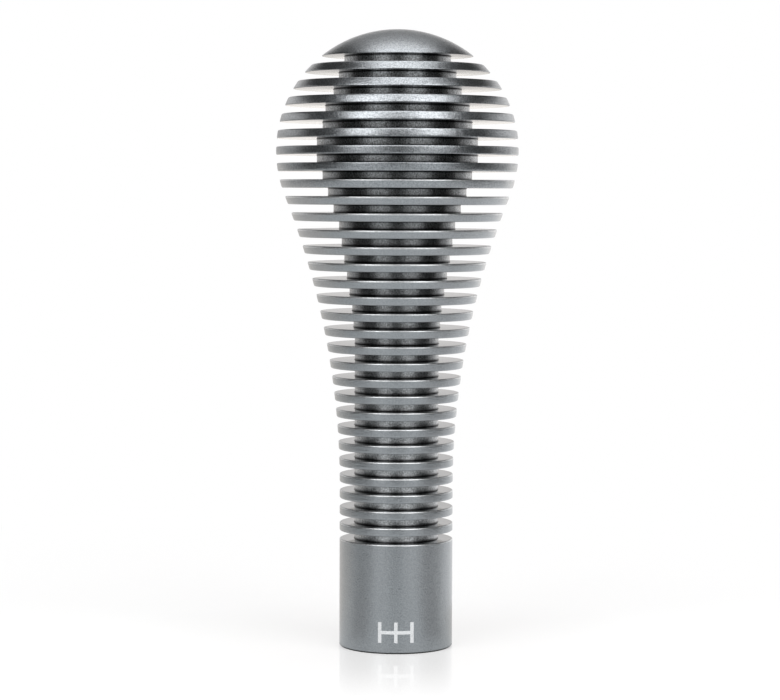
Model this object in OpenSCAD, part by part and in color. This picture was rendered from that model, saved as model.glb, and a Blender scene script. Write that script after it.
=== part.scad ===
// Finned gear shift knob, turned from one bar, with a threaded bush for the lever in its foot.
// The knob stands on its collar: +Z is up and the origin is the middle of the foot, in millimetres.

/* [Ball head] */
// Diameter of the ball that the edges of the upper fins lie on
ball_d = 47; // [43:0.1:56]
// Fin whose middle lies on the ball's equator, counted from the top
equator_fin = 6; // [4:1:6]

/* [Neck and collar] */
// Diameter of the collar and of the fins on the straight neck
neck_d = 22.1; // [20.5:0.1:25]
// Height above the collar at which the flare leaves the straight neck
flare_foot = 10; // [5:0.1:20]
// Height of the plain collar
collar_h = 21.1; // [19.5:0.1:40]
// Chamfer around the foot of the collar
foot_chamfer = 0.3; // [0.1:0.05:1]

/* [Fins and core] */
// Number of fins between the collar and the dome
fin_count = 29; // [24:1:36]
// Thickness of a fin
fin_t = 1.5875; // [1:0.0125:1.9]
// Height of the groove between two fins
groove_w = 1.5875; // [1:0.0125:1.9]
// Size of the broken edge along the rims of the fins
edge_break = 0.12; // [0.05:0.01:0.3]
// Diameter of the core behind the neck's fins
core_d = 16.3; // [15:0.1:17.5]
// Diameter of the core at its widest, behind the ball's equator
core_belly_d = 31.2; // [24:0.1:36]

/* [Lever thread] */
// Nominal diameter of the lever's thread
thread_d = 12; // [8:1:12]
// Pitch of the lever's thread
thread_pitch = 1.25; // [1:0.25:1.75]
// Outer diameter of the threaded bush
bush_d = 16; // [15:0.5:18]
// Length of the threaded bush
bush_h = 18; // [12:0.5:18.5]
// Depth of the bush's lower face inside the foot
bush_inset = 0.3; // [0:0.1:0.8]
// Gap all round between the bush and its bore
bush_gap = 0.02; // [0.01:0.01:0.1]
// Chamfer on the outer edges of the bush and on the mouth of its bore
bush_chamfer = 0.4; // [0.1:0.1:0.8]
// Height of the room for the lever's end above the bush
lever_room_h = 14; // [6:1:20]
// Gap all round between the lever's thread and that room
lever_gap = 0.2; // [0.1:0.1:0.5]

/* [Hidden] */
$fn = 180;
ball_fn = 360;
flare_fn = 1440;

pitch = fin_t + groove_w;
groove_count = fin_count + 1;
ball_r = ball_d / 2;
neck_r = neck_d / 2;
core_r = core_d / 2;
core_swell = (core_belly_d - core_d) / 2;

// How much of the outside's swell the core follows, for grooves counted from the one above the equator. The
// core's own swell is this share of its swell behind the equator, times the outside's swell at the groove.
CORE_SHAPE = [
    [-5, 0.96], [-4, 0.77], [-3, 0.77], [-2, 0.9], [-1, 0.9], [0, 1.01], [1, 1.01], [2, 0.9], [3, 0.82],
    [4, 0.735], [5, 0.62], [6, 0.59], [7, 0.545], [8, 0.475], [9, 0.375], [10, 0.225], [11, 0.135], [12, 0]
];

// The ball's centre is level with the middle of the equator fin
ball_z = fin_z(equator_fin);

// The flare is one concave arc: upright where it leaves the neck, and touching the ball above
flare_z = collar_h + flare_foot;
flare_rise = ball_z - flare_z;
flare_r = (flare_rise * flare_rise + neck_r * neck_r - ball_r * ball_r) / (2 * (ball_r - neck_r));
touch_x = ball_r * (neck_r + flare_r) / (ball_r + flare_r);
touch_z = ball_z - ball_r * flare_rise / (ball_r + flare_r);

// The bush stops against the step at the end of its bore, and a drill's 118 degree point ends the room above
seat_z = bush_inset + bush_h;
bush_r = bush_d / 2;
bush_bore_r = bush_r + bush_gap;
lever_room_r = thread_d / 2 + lever_gap;
room_end_z = seat_z + lever_room_h;
drill_point_h = lever_room_r / tan(59);

// The wall between the thread's crests: its basic minor radius
thread_wall_r = thread_d / 2 - 0.5413 * thread_pitch;
lead_in = lever_room_r - thread_wall_r;

// Height of the middle of a fin, counted from the top
function fin_z(i) = collar_h + groove_w + fin_t / 2 + (fin_count - i) * pitch;

// Radius of the outer shape at a height: ball, then flare, then straight neck
function outer_r(z) =
    z > touch_z ? sqrt(ball_r * ball_r - (z - ball_z) * (z - ball_z))
    : z > flare_z ? neck_r + flare_r - sqrt(flare_r * flare_r - (z - flare_z) * (z - flare_z))
    : neck_r;

// Height of the lower side of a groove
function groove_low(i) = fin_z(i) + fin_t / 2;

// Radius of the outer shape at the narrower of a groove's two sides
function groove_edge_r(i) = min(outer_r(groove_low(i)), outer_r(groove_low(i) + groove_w));

// Swell of the outer shape at a groove, as a share of the ball's
function groove_swell(i) = (groove_edge_r(i) - neck_r) / (ball_r - neck_r);

// Radius of the core behind a groove
function groove_floor_r(i) = core_r + core_swell * lookup(i - equator_fin, CORE_SHAPE) * groove_swell(i);

// Half section of the knob before its grooves are cut
module outline() {
    intersection() {
        translate([0, ball_z]) circle(r = ball_r, $fn = ball_fn);
        translate([0, touch_z]) square(2 * ball_r);
    }
    difference() {
        translate([0, flare_z]) square([touch_x, touch_z - flare_z]);
        translate([neck_r + flare_r, flare_z]) circle(r = flare_r, $fn = flare_fn);
    }
    polygon([
        [0, 0],
        [neck_r - foot_chamfer, 0],
        [neck_r, foot_chamfer],
        [neck_r, flare_z],
        [0, flare_z]
    ]);
}

// End of the line that breaks a rim: from the fin's flat face it crosses the outer shape and runs on past it,
// with side -1 for the rim below a groove and 1 for the rim above it
function break_end(z, side) =
    [2 * outer_r(z + side * edge_break) - outer_r(z) + edge_break, z + 2 * side * edge_break];

// Section of the groove above fin i, with the broken edges of the rims on both its sides
module groove(i) {
    low = groove_low(i);
    high = low + groove_w;
    low_end = break_end(low, -1);
    high_end = break_end(high, 1);
    polygon([
        [groove_floor_r(i), low],
        [outer_r(low) - edge_break, low],
        low_end,
        [ball_d, low_end[1]],
        [ball_d, high_end[1]],
        high_end,
        [outer_r(high) - edge_break, high],
        [groove_floor_r(i), high]
    ]);
}

// Bore for the bush from the foot up to its seat, and the drilled room for the lever's end above it
module foot_bores() {
    translate([0, 0, -1]) cylinder(r = bush_bore_r, h = seat_z + 1);
    translate([0, 0, -1]) cylinder(r1 = bush_bore_r + bush_chamfer + 1, r2 = bush_bore_r, h = bush_chamfer + 1);
    cylinder(r = lever_room_r, h = room_end_z);
    translate([0, 0, room_end_z]) cylinder(r1 = lever_room_r, r2 = 0, h = drill_point_h);
}

module knob_body() {
    color("#7b8185")
    difference() {
        rotate_extrude() difference() {
            outline();
            for (i = [1 : groove_count]) groove(i);
        }
        foot_bores();
    }
}

module thread_bush() {
    color("#b59a5b")
    translate([0, 0, bush_inset])
    rotate_extrude() polygon([
        [thread_wall_r, lead_in],
        [lever_room_r, 0],
        [bush_r - bush_chamfer, 0],
        [bush_r, bush_chamfer],
        [bush_r, bush_h - bush_chamfer],
        [bush_r - bush_chamfer, bush_h],
        [lever_room_r, bush_h],
        [thread_wall_r, bush_h - lead_in]
    ]);
}

knob_body();
thread_bush();
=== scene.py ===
"""Looks of a finned gear shift knob, turned from one bar of aluminium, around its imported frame.

The body is one surface of revolution, worked out from the knob's half section with its rims and corners
rounded. The bush in its foot carries the helical thread. Sizes are in millimetres until a mesh is made.
"""
import functools
import math

import bpy
import numpy as np
from mathutils import Euler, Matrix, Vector


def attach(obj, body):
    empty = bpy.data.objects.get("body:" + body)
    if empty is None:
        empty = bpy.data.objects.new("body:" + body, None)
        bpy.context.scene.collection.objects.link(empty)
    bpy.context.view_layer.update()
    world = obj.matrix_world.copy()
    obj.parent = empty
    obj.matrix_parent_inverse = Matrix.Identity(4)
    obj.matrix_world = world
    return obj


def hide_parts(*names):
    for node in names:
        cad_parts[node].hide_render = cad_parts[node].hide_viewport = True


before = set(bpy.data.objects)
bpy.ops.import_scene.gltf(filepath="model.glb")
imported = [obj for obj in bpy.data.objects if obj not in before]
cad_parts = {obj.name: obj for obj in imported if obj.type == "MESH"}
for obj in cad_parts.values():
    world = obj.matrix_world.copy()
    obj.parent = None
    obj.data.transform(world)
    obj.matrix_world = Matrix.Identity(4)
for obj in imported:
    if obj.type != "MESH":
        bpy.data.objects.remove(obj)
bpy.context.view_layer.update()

MM = 0.001

# Driving sizes of the solids, with the outside a hundredth of a millimetre inside theirs
BALL_R = 23.49
NECK_R = 11.04
FLARE_FOOT = 10.0
COLLAR_H = 21.1
FOOT_BREAK = 0.3
FIN_COUNT = 29
EQUATOR_FIN = 6
FIN_T = 1.5875
GROOVE_W = 1.5875
CORE_R = 8.15
CORE_SWELL = 7.45

# Share of the outside's swell that the core follows, at grooves counted from the one above the equator's fin
CORE_SHAPE = (
    (-5, 0.96), (-4, 0.77), (-3, 0.77), (-2, 0.9), (-1, 0.9), (0, 1.01), (1, 1.01), (2, 0.9), (3, 0.82),
    (4, 0.735), (5, 0.62), (6, 0.59), (7, 0.545), (8, 0.475), (9, 0.375), (10, 0.225), (11, 0.135), (12, 0),
)

# Bush and the bores in the foot, with the angle of the drill's point in degrees
THREAD_R = 6.0
THREAD_PITCH = 1.25
BUSH_R = 8.0
BUSH_H = 18.0
BUSH_INSET = 0.3
BUSH_GAP = 0.02
BUSH_BREAK = 0.4
LEVER_ROOM_R = 6.2
LEVER_ROOM_H = 14.0
DRILL_POINT = 118

# Depth and flats of the thread, as shares of its pitch
THREAD_DEPTH = 0.5413
ROOT_FLAT = 0.125
CREST_FLAT = 0.25

# Rounding of the rims' edges, and the wider one on the upper edges of the fins at the shoulder, where the
# ball passes into the flare
RIM_ROUND = 0.24
SHOULDER_ROUND = 0.36
SHOULDER_FINS = range(9, 15)

# Corner left by the tip of the grooving tool
TOOL_CORNER = 0.12

# Values worked out from these sizes
PITCH = FIN_T + GROOVE_W
BALL_Z = COLLAR_H + GROOVE_W + FIN_T / 2 + (FIN_COUNT - EQUATOR_FIN) * PITCH
FLARE_Z = COLLAR_H + FLARE_FOOT
FLARE_RISE = BALL_Z - FLARE_Z
FLARE_R = (FLARE_RISE**2 + NECK_R**2 - BALL_R**2) / (2 * (BALL_R - NECK_R))
TOUCH_Z = BALL_Z - BALL_R * FLARE_RISE / (BALL_R + FLARE_R)
SEAT_Z = BUSH_INSET + BUSH_H
ROOM_END_Z = SEAT_Z + LEVER_ROOM_H

# Steps of the dome's arc, of a rounded edge, around the knob and around the bush, and rows in a thread's turn
DOME_STEPS = 24
EDGE_STEPS = 3
AROUND = 200
BUSH_AROUND = 100
THREAD_ROWS = 20

# Rows across the middle of a rim, as shares of the fin's thickness from its top
RIM_ROWS = (0.32, 0.5, 0.68)

# Finishes of the knob, as indices of its materials, and the uppermost fin whose upper edge gets the
# painted highlight, a brighter colour painted on the rounded edge
BLASTED, FACED, CORE, HIGHLIT_EDGE = range(4)
HIGHLIT_EDGE_FROM = 8

# Colours of the finishes and of the print
BLASTED_GREY = (0.289, 0.305, 0.320)
FACED_GREY = (0.2, 0.21, 0.215)
CORE_GREY = (0.56, 0.575, 0.59)
# The grey below is a painted highlight for the fins' rounded upper edges, brighter than the rims' grey
HIGHLIT_EDGE_GREY = (0.57, 0.585, 0.595)
BRASS_YELLOW = (0.72, 0.55, 0.28)
PRINT_WHITE = (0.55, 0.56, 0.57)

# Heights in metres between which the tint of the grain grows, up the head
HEAD_GRAIN_REACH = (0.085, 0.097)

# Turn of the radial tangent that lays the core's spread of light along the axis
ALONG_AXIS = 0.25

# Painted shade on the core in the corners of a groove: reach in millimetres and shade in the corner
LOW_CORNER_SHADE = (0.55, 0.03)
HIGH_CORNER_SHADE = (0.42, 0.01)

# Printed gate pattern on the front of the collar, three strokes and the bar that joins them: height of its
# middle, half a stroke's height, distance of the outer strokes from the middle one, and half a stroke's width
MARK_Z = 4.2
MARK_RISE = 2.0
MARK_SPREAD = 3.1
MARK_STROKE = 0.33

# Camera, fitted to the photograph: lens and sensor in millimetres, place in metres
LENS = 118.6
SENSOR = 36.0
CAMERA_AT = (-0.0013, -0.4997, 0.08858)
TILT_DOWN = math.radians(3.516)
ROLL = math.radians(0.193)

# Studio: levels where 1 is white, angles in degrees, places in metres
WHITE = (1, 1, 1, 1)
MIDDLE = Vector((0, 0, 0.06))

# Soft boxes: name, azimuth, elevation, distance from the knob's middle, width, height and level
SOFT_BOXES = (
    ("front_box_left", -39, 36, 0.9, 0.58, 0.70, 3.4),
    ("front_box_right", 42, 36, 0.9, 0.64, 0.70, 3.4),
    ("top_box", 90, 88, 0.9, 1.0, 0.62, 2.5),
    ("rear_box", 180, 44, 0.9, 0.50, 0.34, 0.52),
    ("brow_box", 0, 43, 0.9, 0.36, 0.56, 1.4),
    ("rear_strip_right", 148, -7, 0.4, 0.26, 0.06, 0.4),
    ("rear_side_right", 142, 7, 0.4, 0.34, 0.16, 0.4),
)

# Sectors of the ground that metal sees at levels of their own: name, two azimuths, two distances and level
FLOOR_CARDS = (
    ("floor_dip_left", (-48, -86), (0.02, 0.085), 0.7),
    ("floor_dip_right", (48, 86), (0.02, 0.085), 0.7),
    ("floor_edge_left", (-48, -86), (0.19, 0.29), 0.7),
    ("floor_edge_right", (48, 86), (0.19, 0.29), 0.7),
    ("floor_card_right", (100, 172), (0.05, 0.45), 1.3),
    ("floor_side_right", (50, 96), (0.095, 0.185), 1.08),
    ("floor_front_left", (-50, -10), (0.07, 0.12), 1.08),
    ("floor_front_right", (10, 50), (0.07, 0.12), 1.08),
)
CARD_STEPS = 12
CARD_LIFT = 0.0005

# Upright cards that metal sees: name, azimuth, distance, width, height, level and lean
UPRIGHT_CARDS = (
    ("side_card_left", -76.5, 0.30, 0.33, 0.335, 0.015, -0.05),
    ("side_card_right", 77, 0.30, 0.315, 0.335, 0.015, 0.06),
    ("lens_card", 0, 0.40, 0.20, 0.22, 0.015, 0.0),
    ("grey_card_left", -117, 0.34, 0.14, 0.12, 0.5, 0.0),
    ("grey_card_right", 117, 0.34, 0.14, 0.12, 0.5, 0.0),
)

# Backdrop in the metal's reflections: elevations of its foot and of its top edge, half the span of their
# blends, its levels below and above its foot, its tint, and the level of the dim room over it
BACKDROP_FOOT = 9.5
BACKDROP_TOP = 22.0
BACKDROP_BLEND = 5.0
HORIZON_LEVEL = 0.735
BACKDROP_LEVEL = 1.15
BACKDROP_TINT = (1.0, 0.98, 0.97, 1)
ROOM_LEVEL = 0.03

# Plain light on what is matt
SOFT_LEVEL = 0.4

# Ground: its radius and corners, its own glow and its matt share, and the span in which it turns plain white
GROUND_RADIUS = 8.0
GROUND_CORNERS = 96
GROUND_GLOW = 0.6
GROUND_MATT = 0.3
GROUND_REACH = (0.07, 0.20)

# Mirror image on the ground: its share at a flat glance, how fast that falls, its span and its blur
MIRROR_SHARE = 0.38
MIRROR_POWER = 3.0
MIRROR_REACH = (0.016, 0.064)
MIRROR_BLUR = 0.02

# Ground in the metal's reflections: its tints in front and behind and the span between them, a painted
# shadow as a dark ring round the collar with its reach in millimetres, a painted light under the foot,
# and a dip and a rise far off, each as two distances and two levels
FRONT_TINT = (0.957, 0.99, 1.0, 1)
REAR_TINT = (1.0, 0.962, 0.92, 1)
TINT_REACH = (-0.03, 0.05)
CONTACT_REACH = 1.2
CONTACT_SHADE = 0.08
UNDER_FOOT = (0.0100, 0.0105)
UNDER_LEVEL = 0.9
FAR_DIP = (0.9, 2.0, 1.0, 0.68)
FAR_RISE = (2.4, 3.8, 1.0, 2.1)


def outer_radius(z):
    """Radius of the outer shape at heights z: the ball, then the flare's concave arc, then the neck."""
    z = np.asarray(z, float)
    ball = np.sqrt(np.clip(BALL_R**2 - (z - BALL_Z) ** 2, 0, None))
    flare = NECK_R + FLARE_R - np.sqrt(FLARE_R**2 - np.clip(z - FLARE_Z, 0, None) ** 2)
    return np.where(z > TOUCH_Z, ball, np.where(z > FLARE_Z, flare, NECK_R))


def groove_floor_radius(number, low, high):
    """Radius of the core behind a groove, counted from the top.

    The core swells with the outside: swell = core's full swell * share * (edge - neck) / (ball - neck), where
    edge is the outer radius at the narrower of the groove's two sides.
    """
    steps, shares = zip(*CORE_SHAPE)
    follow = (outer_radius([low, high]).min() - NECK_R) / (BALL_R - NECK_R)
    return CORE_R + CORE_SWELL * np.interp(number - EQUATOR_FIN, steps, shares) * follow


def section_normals(points, softness):
    """Normals at both ends of each run of a half section, as arrays (run, end, 2).

    A run's own normal is its direction turned by a quarter, outward. At a point the normals of the two
    runs that meet lean towards each other: own length * own normal + softness * other length * other normal.
    Softness 1 gives both the same normal there, and 0 leaves a sharp edge.
    """
    run = np.diff(points, axis=0)
    side = np.stack([-run[:, 1], run[:, 0]], axis=1)
    zero = np.zeros((1, 2))
    start = side + softness[:-1, None] * np.vstack([zero, side[:-1]])
    end = side + softness[1:, None] * np.vstack([side[1:], zero])
    both = np.stack([start, end], axis=1)
    return both / np.linalg.norm(both, axis=2, keepdims=True)


def quads_between(lower, upper, around):
    """Quads between pairs of rings of vertices, from the numbers of each pair's first vertices."""
    here = np.arange(around)
    there = (here + 1) % around
    lower, upper = lower[:, None], upper[:, None]
    return np.stack([lower + here, upper + here, upper + there, lower + there], axis=2).reshape(-1, 4)


def turned_faces(rings):
    """Faces of a surface of revolution: quads between its rings, then a fan of triangles at either pole."""
    here = np.arange(AROUND)
    there = (here + 1) % AROUND
    rows = np.arange(rings - 1) * AROUND
    last_ring = (rings - 1) * AROUND
    first_pole = rings * AROUND
    last_pole = first_pole + 1
    first_fan = np.stack([np.full(AROUND, first_pole), here, there], axis=1)
    last_fan = np.stack([last_ring + here, np.full(AROUND, last_pole), last_ring + there], axis=1)
    return quads_between(rows, rows + AROUND, AROUND).tolist() + first_fan.tolist() + last_fan.tolist()


def turned_normals(start, end, wheel):
    """Normals at the corners of the turned faces, in the faces' order: those at the start and at the end of
    each run of the section, turned about the axis to the spokes of the wheel."""
    next_wheel = np.roll(wheel, -1, axis=0)

    def turn(normal, spokes):
        flat = normal[:, None, :1] * spokes
        return np.concatenate([flat, np.broadcast_to(normal[:, None, 1:], flat.shape[:-1] + (1,))], axis=2)

    ends = turn(start, wheel), turn(end, wheel), turn(end, next_wheel), turn(start, next_wheel)
    quads = np.stack([corner[1:-1] for corner in ends], axis=2)
    first_fan = np.stack([corner[0] for corner in ends[:3]], axis=1)
    last_fan = np.stack([corner[-1] for corner in (ends[0], ends[1], ends[3])], axis=1)
    return np.concatenate([normals.reshape(-1, 3) for normals in (quads, first_fan, last_fan)])


def turned_mesh(name, section):
    """Surface of revolution of a closed half section, whose rows are (radius, height, softness, finish).

    The path starts and ends on the axis. The point (radius, height) at the angle a is (radius cos a,
    radius sin a, height). The finish of a row is the material of the run after it.
    """
    section = np.asarray(section, float)
    points, softness, finish = section[:, :2], section[:, 2], section[:-1, 3].astype(np.int32)
    angle = np.arange(AROUND) * 2 * np.pi / AROUND
    wheel = np.stack([np.cos(angle), np.sin(angle)], axis=1)
    rings = len(points) - 2
    ring = points[1:-1, None, :1] * wheel
    rise = np.broadcast_to(points[1:-1, None, 1:], (rings, AROUND, 1))
    poles = [[0, 0, points[0, 1]], [0, 0, points[-1, 1]]]
    verts = np.vstack([np.concatenate([ring, rise], axis=2).reshape(-1, 3), poles])
    normals = section_normals(points, softness)
    material = np.repeat(np.append(finish[1:-1], finish[[0, -1]]), AROUND)

    mesh = bpy.data.meshes.new(name)
    mesh.from_pydata(verts * MM, [], turned_faces(rings))
    mesh.polygons.foreach_set("material_index", material)
    mesh.polygons.foreach_set("use_smooth", np.ones(len(material), bool))
    mesh.update()
    mesh.normals_split_custom_set(turned_normals(normals[:, 0], normals[:, 1], wheel))
    return mesh


def add_piece(mesh, materials, node):
    """Puts a mesh into the scene as a piece that rides on the part's one body and stands for a node."""
    for material in materials:
        mesh.materials.append(material)
    piece = bpy.data.objects.new(mesh.name, mesh)
    bpy.context.scene.collection.objects.link(piece)
    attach(piece, "root")
    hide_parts(node)


def rim_edge(corner_z, side, reach):
    """Rounded edge of a rim, from the outer shape in to the fin's flat at the height corner_z.

    It is the curve (1 - t)^2 A + 2 t (1 - t) C + t^2 B, with the sharp corner C, the point A on the outer
    shape and the point B on the flat. Side is -1 for the rim below a groove and 1 for the rim above it.
    """
    t = np.linspace(0, 1, EDGE_STEPS + 1)[:, None]
    corner = np.array([outer_radius(corner_z), corner_z])
    face_z = corner_z + side * reach
    face = np.array([outer_radius(face_z), face_z])
    flat = corner - [reach, 0]
    return (1 - t) ** 2 * face + 2 * t * (1 - t) * corner + t**2 * flat


def groove_section(number, low, high):
    """Half section of a groove and the edges beside it: over the upper fin's rounded edge, in along its flat,
    down the core, out along the lower fin's flat and over that fin's edge."""
    floor = groove_floor_radius(number, low, high)
    # Painted highlight: from that fin down, a fin's rounded upper edge gets the brighter edge material
    edge = HIGHLIT_EDGE if number >= HIGHLIT_EDGE_FROM else BLASTED
    reach = SHOULDER_ROUND if number in SHOULDER_FINS else RIM_ROUND
    upper = [(r, z, 1, BLASTED) for r, z in rim_edge(high, 1, RIM_ROUND)]
    lower = [(r, z, 1, edge) for r, z in rim_edge(low, -1, reach)[::-1]]
    upper[-1] = (*upper[-1][:3], FACED)
    lower[-1] = (*lower[-1][:3], BLASTED)
    return upper + [
        (floor + TOOL_CORNER, high, 1, CORE),
        (floor, high - TOOL_CORNER, 1, CORE),
        (floor, low + TOOL_CORNER, 1, CORE),
        (floor + TOOL_CORNER, low, 1, FACED),
    ] + lower


def knob_section():
    """Half section of the knob, from the dome's top down the outside, in under the foot and up its bores
    to the drill's point. Each row is (radius, height, softness, finish of the run after it)."""
    low = COLLAR_H + (FIN_COUNT + 1 - np.arange(1, FIN_COUNT + 2)) * PITCH
    high = low + GROOVE_W
    dome_end = math.acos((high[0] + RIM_ROUND - BALL_Z) / BALL_R)
    lean = np.linspace(0, dome_end, DOME_STEPS + 1)[:-1]
    path = [(BALL_R * math.sin(a), BALL_Z + BALL_R * math.cos(a), 1, BLASTED) for a in lean]
    for number in range(1, FIN_COUNT + 2):
        path += groove_section(number, low[number - 1], high[number - 1])
        if number <= FIN_COUNT:
            rim = low[number - 1] - FIN_T * np.array(RIM_ROWS)
            path += [(outer_radius(z), z, 1, BLASTED) for z in rim]
    bore_r = BUSH_R + BUSH_GAP
    drill_point_h = LEVER_ROOM_R / math.tan(math.radians(DRILL_POINT / 2))
    path += [
        (NECK_R, FOOT_BREAK, 0, BLASTED),
        (NECK_R - FOOT_BREAK, 0, 0, FACED),
        (bore_r + BUSH_BREAK, 0, 0, FACED),
        (bore_r, BUSH_BREAK, 0, FACED),
        (bore_r, SEAT_Z, 0, FACED),
        (LEVER_ROOM_R, SEAT_Z, 0, FACED),
        (LEVER_ROOM_R, ROOM_END_Z, 0, FACED),
        (0, ROOM_END_Z + drill_point_h, 0, FACED),
    ]
    return path


def knob_body(*finishes):
    """The knob: its half section turned about the axis."""
    mesh = turned_mesh("knob_turned_body", knob_section())
    add_piece(mesh, finishes, "knob_body")


def thread_radius(turns):
    """Radius of the internal 60 degree thread at a phase in turns along its pitch.

    It is a crest flat of a quarter pitch, a root flat of an eighth, and straight flanks between them.
    """
    phase = np.abs((turns % 1.0) - 0.5) * 2
    flank = np.clip((phase - ROOT_FLAT) / (1 - ROOT_FLAT - CREST_FLAT), 0, 1)
    return THREAD_R - THREAD_DEPTH * THREAD_PITCH * flank


def thread_bush(brass):
    """The bush: a ring whose bore is the thread, opened at both ends by the lead-in cones.

    The bore is r(angle, height) = thread radius at height / pitch - angle / full turn.
    """
    rows = int(round(BUSH_H / THREAD_PITCH * THREAD_ROWS))
    z = np.linspace(0, BUSH_H, rows + 1)
    angle = np.arange(BUSH_AROUND) * 2 * np.pi / BUSH_AROUND
    crest = thread_radius(z[:, None] / THREAD_PITCH - angle[None] / (2 * np.pi))
    cone = LEVER_ROOM_R - np.minimum(z, BUSH_H - z)[:, None]
    bore = np.maximum(crest, cone)
    outside = np.array([
        (BUSH_R - BUSH_BREAK, BUSH_H),
        (BUSH_R, BUSH_H - BUSH_BREAK),
        (BUSH_R, BUSH_BREAK),
        (BUSH_R - BUSH_BREAK, 0),
    ])
    radius = np.vstack([bore, np.repeat(outside[:, :1], BUSH_AROUND, axis=1)])
    height = np.concatenate([z, outside[:, 1]]) + BUSH_INSET
    verts = np.stack([
        radius * np.cos(angle),
        radius * np.sin(angle),
        np.repeat(height[:, None], BUSH_AROUND, axis=1),
    ], axis=2)
    ring = np.arange(len(height)) * BUSH_AROUND
    faces = quads_between(ring, np.roll(ring, -1), BUSH_AROUND)
    mesh = bpy.data.meshes.new("thread_bush_cut")
    mesh.from_pydata(verts.reshape(-1, 3) * MM, [], faces.tolist())
    mesh.update()
    smooth = np.zeros(len(mesh.polygons), bool)
    smooth[: rows * BUSH_AROUND] = True
    mesh.polygons.foreach_set("use_smooth", smooth)
    add_piece(mesh, [brass], "thread_bush")


def feed(tree, value, socket):
    """Links a socket from another node's output, or sets it to a number or a colour."""
    if isinstance(value, bpy.types.NodeSocket):
        tree.links.new(value, socket)
    else:
        socket.default_value = value


def add(tree, kind, sockets=None, **properties):
    """A shader node of that kind, with its properties set and its sockets, by name or number, fed."""
    node = tree.nodes.new("ShaderNode" + kind)
    for key, value in properties.items():
        setattr(node, key, value)
    for socket, value in (sockets or {}).items():
        feed(tree, value, node.inputs[socket])
    return node


def compute(tree, operation, *values):
    """Output of a Math node over numbers and other nodes' outputs."""
    return add(tree, "Math", dict(enumerate(values)), operation=operation).outputs[0]


def ease(tree, value, start, end, low, high):
    """Output that goes smoothly from low to high while a value goes from start to end."""
    sockets = {"Value": value, "From Min": start, "From Max": end, "To Min": low, "To Max": high}
    return add(tree, "MapRange", sockets, interpolation_type="SMOOTHSTEP").outputs[0]


def mix(tree, kind, factor, first, second, **properties):
    """Output of a mix of numbers or colours: the first where the factor is 0, the second where it is 1."""
    sockets = {"Factor": factor, "A": first, "B": second}
    return add(tree, "Mix", sockets, data_type=kind, **properties).outputs["Result"]


def shader(tree, kind, **sockets):
    """Output of a shader, with its sockets fed by name."""
    return add(tree, kind, sockets).outputs[0]


def mix_shader(tree, factor, first, second):
    """Output of a mix of shaders: the first where the factor is 0, the second where it is 1."""
    return add(tree, "MixShader", {0: factor, 1: first, 2: second}).outputs[0]


def object_place(tree):
    """Outputs of the place on the object: the whole vector, and its X, Y and Z by name."""
    place = add(tree, "TexCoord").outputs["Object"]
    return place, add(tree, "SeparateXYZ", {0: place}).outputs


def node_group(name, inputs, *outputs):
    """A node group whose sockets are numbers, with the inputs' defaults given.

    Returns the group, the sockets that its inputs arrive at, and those that its outputs leave from.
    """
    group = bpy.data.node_groups.new(name, "ShaderNodeTree")
    for socket, default in inputs.items():
        made = group.interface.new_socket(socket, in_out="INPUT", socket_type="NodeSocketFloat")
        made.default_value = default
    for socket in outputs:
        group.interface.new_socket(socket, in_out="OUTPUT", socket_type="NodeSocketFloat")
    return group, group.nodes.new("NodeGroupInput").outputs, group.nodes.new("NodeGroupOutput").inputs


def noise_tint(tree, noise, strength):
    """Output of a tint that noise gives: 1 + strength * (noise - 0.5)."""
    return compute(tree, "MULTIPLY_ADD", compute(tree, "SUBTRACT", noise, 0.5), strength, 1.0)


def grain_group():
    """Node group for a fine pitted surface: noise at a grain size gives a height and a faint tint.

    Up the head, where the blasting has bitten deeper, the tint's strength is multiplied by the head growth.
    """
    inputs = {"Grains per metre": 3500.0, "Tint strength": 0.1, "Head growth": 1.0}
    group, given, out = node_group("blasted_grain", inputs, "Height", "Tint")
    place, axes = object_place(group)
    sockets = {"Vector": place, "Scale": given["Grains per metre"], "Detail": 0.0}
    noise = add(group, "TexNoise", sockets).outputs["Fac"]
    growth = ease(group, axes["Z"], *HEAD_GRAIN_REACH, 1.0, given["Head growth"])
    strength = compute(group, "MULTIPLY", given["Tint strength"], growth)
    feed(group, noise, out["Height"])
    feed(group, noise_tint(group, noise, strength), out["Tint"])
    return group


def streak_group():
    """Node group for turning marks: noise that is stretched around the axis gives a height and a tint."""
    inputs = {"Lines per metre": 4000.0, "Stretch": 12.0, "Tint strength": 0.3}
    group, given, out = node_group("turning_streaks", inputs, "Height", "Tint")
    axes = object_place(group)[1]
    lines = {axis: compute(group, "DIVIDE", axes[axis], given["Stretch"]) for axis in "XY"}
    lines["Z"] = axes["Z"]
    stretched = add(group, "CombineXYZ", lines).outputs[0]
    sockets = {"Vector": stretched, "Scale": given["Lines per metre"], "Detail": 3.0, "Roughness": 0.7}
    noise = add(group, "TexNoise", sockets).outputs["Fac"]
    feed(group, noise, out["Height"])
    feed(group, noise_tint(group, noise, given["Tint strength"]), out["Tint"])
    return group


def painted_corner_shade_group():
    """Node group for painted shade in a groove's corners: 1 halfway up a groove, less towards its two flats.

    The height over the collar in pitches, less its whole part, is 0 at a groove's foot and groove / pitch
    at its top.
    """
    group, _, out = node_group("groove_corners_painted_shade", {}, "Shade")
    above = compute(group, "SUBTRACT", object_place(group)[1]["Z"], COLLAR_H * MM)
    phase = compute(group, "FRACT", compute(group, "DIVIDE", above, PITCH * MM))
    shades = [
        ease(group, phase, foot / PITCH, abs(foot - reach) / PITCH, dark, 1.0)
        for foot, (reach, dark) in ((0, LOW_CORNER_SHADE), (GROOVE_W, HIGH_CORNER_SHADE))
    ]
    feed(group, compute(group, "MULTIPLY", *shades), out["Shade"])
    return group


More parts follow.
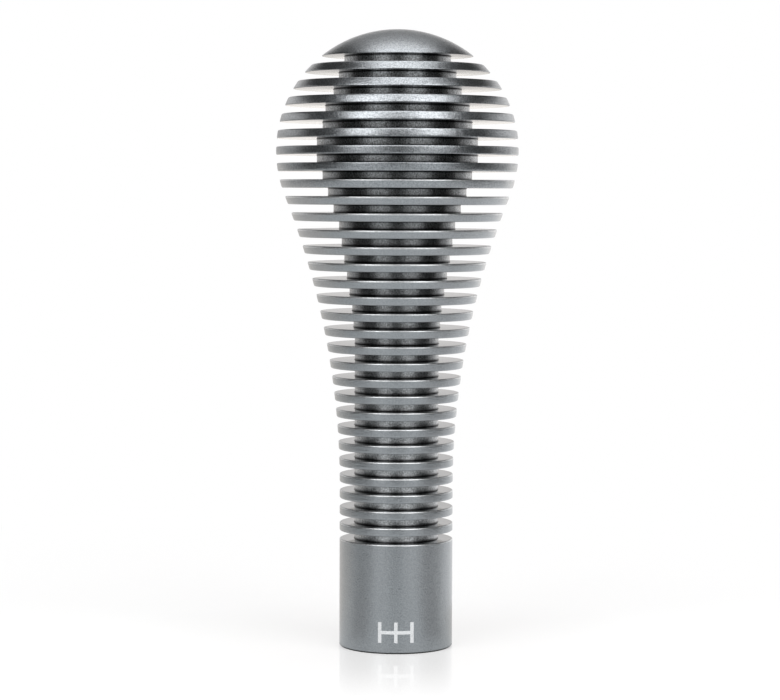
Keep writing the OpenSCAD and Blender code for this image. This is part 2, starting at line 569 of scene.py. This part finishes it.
def gate_mark_group():
    """Node group for the printed gate pattern: 1 on its strokes and bar on the collar's front, 0 elsewhere.

    With a = |x| and h = |z - middle|, a stroke is min(a, |a - spread|) < stroke and h < rise, and the bar is
    h < stroke and a < spread.
    """
    group, _, out = node_group("gate_mark", {}, "Mask")
    axes = object_place(group)[1]
    step = functools.partial(compute, group)
    across = step("ABSOLUTE", axes["X"])
    rise = step("ABSOLUTE", step("SUBTRACT", axes["Z"], MARK_Z * MM))
    outer = step("ABSOLUTE", step("SUBTRACT", across, MARK_SPREAD * MM))
    stroke = step("LESS_THAN", step("MINIMUM", across, outer), MARK_STROKE * MM)
    strokes = step("MULTIPLY", stroke, step("LESS_THAN", rise, MARK_RISE * MM))
    low = step("LESS_THAN", rise, MARK_STROKE * MM)
    bar = step("MULTIPLY", low, step("LESS_THAN", across, MARK_SPREAD * MM))
    front = step("LESS_THAN", axes["Y"], 0.0)
    feed(group, step("MULTIPLY", step("MAXIMUM", strokes, bar), front), out["Mask"])
    return group


def metal(name, colour, grit, settings, roughness, bump, corners=None):
    """A metal whose colour and height are touched by a grit group, and darkened by a corner group's painted
    shade.

    The settings feed the grit group's own inputs, and the bump is the height of its noise in millimetres.
    """
    material = bpy.data.materials.new(name)
    material.use_nodes = True
    tree = material.node_tree
    sockets = tree.nodes["Principled BSDF"].inputs
    feed(tree, 1.0, sockets["Metallic"])
    feed(tree, roughness, sockets["Roughness"])
    touched = add(tree, "Group", settings, node_tree=grit)
    tint = touched.outputs["Tint"]
    # Painted shade: the corner group darkens the colour towards a groove's corners
    if corners:
        dark = add(tree, "Group", node_tree=corners)
        tint = compute(tree, "MULTIPLY", tint, dark.outputs["Shade"])
    shaded = mix(tree, "RGBA", 1.0, (*colour, 1), tint, blend_type="MULTIPLY")
    feed(tree, shaded, sockets["Base Color"])
    relief = add(tree, "Bump", {"Strength": 1.0, "Distance": bump * MM, "Height": touched.outputs["Height"]})
    feed(tree, relief.outputs["Normal"], sockets["Normal"])
    return material


def print_mark(material, mark, colour, roughness):
    """Lays a matt print over a metal where the mark's mask is 1, with a colour and roughness of its own."""
    tree = material.node_tree
    sockets = tree.nodes["Principled BSDF"].inputs
    mask = add(tree, "Group", node_tree=mark).outputs["Mask"]
    bare = sockets["Base Color"].links[0].from_socket
    feed(tree, mix(tree, "RGBA", mask, bare, (*colour, 1)), sockets["Base Color"])
    for socket, printed in (("Roughness", roughness), ("Metallic", 0.0)):
        value = mix(tree, "FLOAT", mask, sockets[socket].default_value, printed)
        feed(tree, value, sockets[socket])


def spread_along_axis(material, anisotropy):
    """Makes a metal spread the light more along the knob's axis than around it."""
    tree = material.node_tree
    sockets = tree.nodes["Principled BSDF"].inputs
    feed(tree, anisotropy, sockets["Anisotropic"])
    feed(tree, ALONG_AXIS, sockets["Anisotropic Rotation"])
    feed(tree, add(tree, "Tangent", direction_type="RADIAL", axis="Z").outputs[0], sockets["Tangent"])


def blasted_anodised(grain):
    """Satin anodise of the dome, the rims and the collar, with the gate pattern printed on it."""
    settings = {"Grains per metre": 3800, "Tint strength": 0.38, "Head growth": 3.1}
    material = metal("blasted_anodised", BLASTED_GREY, grain, settings, roughness=0.29, bump=0.04)
    print_mark(material, gate_mark_group(), PRINT_WHITE, roughness=0.6)
    return material


def faced_anodised(grain):
    """Smooth anodise of the fins' flats, the foot's face and its bores."""
    settings = {"Grains per metre": 2500, "Tint strength": 0.1}
    return metal("faced_anodised", FACED_GREY, grain, settings, roughness=0.09, bump=0.002)


def core_anodised(grain):
    """Speckled anodise of the core, which spreads the light along the axis and has painted shade in the
    corners.
    """
    settings = {"Grains per metre": 3800, "Tint strength": 1.3, "Head growth": 1.3}
    corners = painted_corner_shade_group()
    material = metal("core_anodised", CORE_GREY, grain, settings, roughness=0.44, bump=0.02, corners=corners)
    spread_along_axis(material, anisotropy=0.7)
    return material


def painted_edge_highlight(grain):
    """Painted highlight on the fins' upper edges: the same anodise in a brighter grey."""
    settings = {"Grains per metre": 3000, "Tint strength": 0.5}
    return metal("painted_edge_highlight", HIGHLIT_EDGE_GREY, grain, settings, roughness=0.35, bump=0.01)


def turned_brass(streaks):
    """Brass of the bush, with fine turning marks around it."""
    settings = {"Lines per metre": 4000, "Tint strength": 0.1}
    return metal("turned_brass", BRASS_YELLOW, streaks, settings, roughness=0.3, bump=0.004)


def cleared_material(name):
    """A material without nodes, and its tree."""
    material = bpy.data.materials.new(name)
    material.use_nodes = True
    material.node_tree.nodes.clear()
    return material, material.node_tree


def one_sided(tree, front):
    """Gives a material a shader on the front of its faces, and leaves it clear from behind."""
    behind = add(tree, "NewGeometry").outputs["Backfacing"]
    surface = mix_shader(tree, behind, front, shader(tree, "BsdfTransparent"))
    add(tree, "OutputMaterial", {"Surface": surface})


def ground_to_camera(tree, away):
    """Lit white with a faint mirror image round the foot, plain white farther off."""
    glow = shader(tree, "Emission", Strength=GROUND_GLOW)
    matt = shader(tree, "BsdfDiffuse", Color=(GROUND_MATT,) * 3 + (1,))
    lit = add(tree, "AddShader", {0: glow, 1: matt}).outputs[0]
    gloss = shader(tree, "BsdfGlossy", Color=WHITE, Roughness=MIRROR_BLUR)
    glance = compute(tree, "POWER", add(tree, "LayerWeight").outputs["Facing"], MIRROR_POWER)
    share = compute(tree, "MULTIPLY", ease(tree, away, *MIRROR_REACH, MIRROR_SHARE, 0.0), glance)
    polished = mix_shader(tree, share, lit, gloss)
    return mix_shader(tree, ease(tree, away, *GROUND_REACH, 0.0, 1.0), polished, shader(tree, "Emission"))


def ground_to_metal(tree, away, depth):
    """Plain glow, cool in front of the knob and warm behind it, with a painted shadow as a dark ring round
    the collar's foot, a painted light patch under the foot, and a dip and a rise far off."""
    # Painted shadow round the collar's foot and painted light under the foot, both set in the glow's level
    ring = (NECK_R - FOOT_BREAK) * MM, (NECK_R + CONTACT_REACH) * MM
    outside = ease(tree, away, *ring, CONTACT_SHADE, 1.0)
    inside = ease(tree, away, *UNDER_FOOT, UNDER_LEVEL, 0.0)
    level = compute(tree, "MAXIMUM", outside, inside)
    for span in (FAR_DIP, FAR_RISE):
        level = compute(tree, "MULTIPLY", level, ease(tree, away, *span))
    tint = mix(tree, "RGBA", ease(tree, depth, *TINT_REACH, 0.0, 1.0), FRONT_TINT, REAR_TINT)
    return shader(tree, "Emission", Color=tint, Strength=level)


def ground_material():
    """White ground that the camera and the metal see at levels of their own. It is clear from below."""
    material, tree = cleared_material("white_ground")
    place, axes = object_place(tree)
    away = add(tree, "VectorMath", {0: place}, operation="LENGTH").outputs["Value"]
    to_camera = add(tree, "LightPath").outputs["Is Camera Ray"]
    reflected = ground_to_metal(tree, away, axes["Y"])
    one_sided(tree, mix_shader(tree, to_camera, reflected, ground_to_camera(tree, away)))
    return material


def make_ground():
    """A round white ground under the foot."""
    mesh = bpy.data.meshes.new("ground")
    turn = np.arange(GROUND_CORNERS) * 2 * np.pi / GROUND_CORNERS
    verts = GROUND_RADIUS * np.stack([np.cos(turn), np.sin(turn), np.zeros(GROUND_CORNERS)], axis=1)
    mesh.from_pydata(verts, [], [list(range(GROUND_CORNERS))])
    mesh.materials.append(ground_material())
    ground = bpy.data.objects.new("ground", mesh)
    bpy.context.scene.collection.objects.link(ground)


def height_step(tree, height, degrees, low, high):
    """Output that goes smoothly from low to high where the view direction rises through an elevation."""
    edges = [math.sin(math.radians(degrees + turn)) for turn in (-BACKDROP_BLEND, BACKDROP_BLEND)]
    return ease(tree, height, *edges, low, high)


def make_world():
    """White all round for the camera. Metal sees the backdrop only up to its top edge, with a dim room above
    it, and anything matt gets a plain soft light."""
    world = bpy.data.worlds.new("studio")
    bpy.context.scene.world = world
    world.use_nodes = True
    tree = world.node_tree
    background = tree.nodes["Background"].inputs
    height = add(tree, "SeparateXYZ", {0: add(tree, "TexCoord").outputs["Generated"]}).outputs["Z"]
    rise = height_step(tree, height, BACKDROP_FOOT, HORIZON_LEVEL, BACKDROP_LEVEL)
    edge = height_step(tree, height, BACKDROP_TOP, 1.0, ROOM_LEVEL / BACKDROP_LEVEL)
    rays = add(tree, "LightPath").outputs
    level = mix(tree, "FLOAT", rays["Is Glossy Ray"], SOFT_LEVEL, compute(tree, "MULTIPLY", rise, edge))
    direct = compute(tree, "MAXIMUM", rays["Is Camera Ray"], rays["Is Transmission Ray"])
    feed(tree, mix(tree, "FLOAT", direct, level, 1.0), background["Strength"])
    feed(tree, mix(tree, "RGBA", direct, BACKDROP_TINT, WHITE), background["Color"])


def toward(azimuth, elevation, distance):
    """Place at a distance from the knob's middle, with the azimuth counted from the camera's side to +X."""
    a, e = math.radians(azimuth), math.radians(elevation)
    way = Vector((math.sin(a) * math.cos(e), -math.cos(a) * math.cos(e), math.sin(e)))
    return MIDDLE + distance * way


def soft_box(name, azimuth, elevation, distance, width, height, level):
    """Rectangular lamp that faces the knob. The level is how bright its face is, where 1 is white."""
    data = bpy.data.lights.new(name, "AREA")
    data.shape = "RECTANGLE"
    data.size, data.size_y = width, height
    data.energy = level * math.pi * width * height
    lamp = bpy.data.objects.new(name, data)
    lamp.location = toward(azimuth, elevation, distance)
    lamp.rotation_euler = (lamp.location - MIDDLE).to_track_quat("Z", "Y").to_euler()
    lamp.visible_camera = False
    bpy.context.scene.collection.objects.link(lamp)


def glowing(name, level):
    """Material that shows at a level of its own, where 1 is white, and is clear from behind."""
    material, tree = cleared_material(name)
    one_sided(tree, shader(tree, "Emission", Strength=level))
    return material


def metal_only(card):
    """Puts a stage card into the scene so that it shows in the metal's reflections and nowhere else."""
    for ray in ("camera", "diffuse", "shadow", "transmission"):
        setattr(card, "visible_" + ray, False)
    bpy.context.scene.collection.objects.link(card)


def floor_card(name, azimuths, distances, level):
    """Sector of the ground, between two azimuths and two distances, that metal sees at a level of its own."""
    turn = np.radians(np.linspace(*azimuths, CARD_STEPS + 1))
    arc = np.stack([np.sin(turn), -np.cos(turn), np.zeros(len(turn))], axis=1)
    corners = np.vstack([arc * distances[0], (arc * distances[1])[::-1]]) + [0, 0, CARD_LIFT]
    order = np.arange(len(corners))
    if azimuths[0] < azimuths[1]:
        order = order[::-1]
    mesh = bpy.data.meshes.new(name)
    mesh.from_pydata(corners, [], [order.tolist()])
    mesh.materials.append(glowing(name, level))
    metal_only(bpy.data.objects.new(name, mesh))


def upright_card(name, azimuth, distance, width, height, level, lean):
    """Upright card on the ground that metal sees at a level of its own.

    A positive lean moves the top of the side with the greater azimuth in, and a negative one the top of the
    other side.
    """
    half = width / 2
    top = [(half - max(lean, 0), 0, height), (-half - min(lean, 0), 0, height)]
    mesh = bpy.data.meshes.new(name)
    mesh.from_pydata([(-half, 0, 0), (half, 0, 0)] + top, [], [(3, 2, 1, 0)])
    mesh.materials.append(glowing(name, level))
    card = bpy.data.objects.new(name, mesh)
    a = math.radians(azimuth)
    card.location = (distance * math.sin(a), -distance * math.cos(a), 0)
    card.rotation_euler = (0, 0, a)
    metal_only(card)


def make_lights():
    """Soft boxes beside the camera, overhead and behind, and the cards that shape the reflections."""
    for box in SOFT_BOXES:
        soft_box(*box)
    for card in FLOOR_CARDS:
        floor_card(*card)
    for card in UPRIGHT_CARDS:
        upright_card(*card)


def make_camera():
    """Camera at the place that the photograph was taken from, looking along +Y and a little down."""
    data = bpy.data.cameras.new("camera")
    data.lens = LENS
    data.sensor_width = SENSOR
    data.sensor_fit = "HORIZONTAL"
    camera = bpy.data.objects.new("camera", data)
    camera.location = CAMERA_AT
    look = Euler((math.pi / 2 - TILT_DOWN, 0, 0)).to_matrix()
    camera.rotation_euler = (look @ Euler((0, 0, ROLL)).to_matrix()).to_euler()
    bpy.context.scene.collection.objects.link(camera)
    bpy.context.scene.camera = camera


make_camera()
make_ground()
make_world()
make_lights()
grain = grain_group()
knob_body(blasted_anodised(grain), faced_anodised(grain), core_anodised(grain), painted_edge_highlight(grain))
thread_bush(turned_brass(streak_group()))

bpy.context.scene.view_settings.view_transform = "Standard"
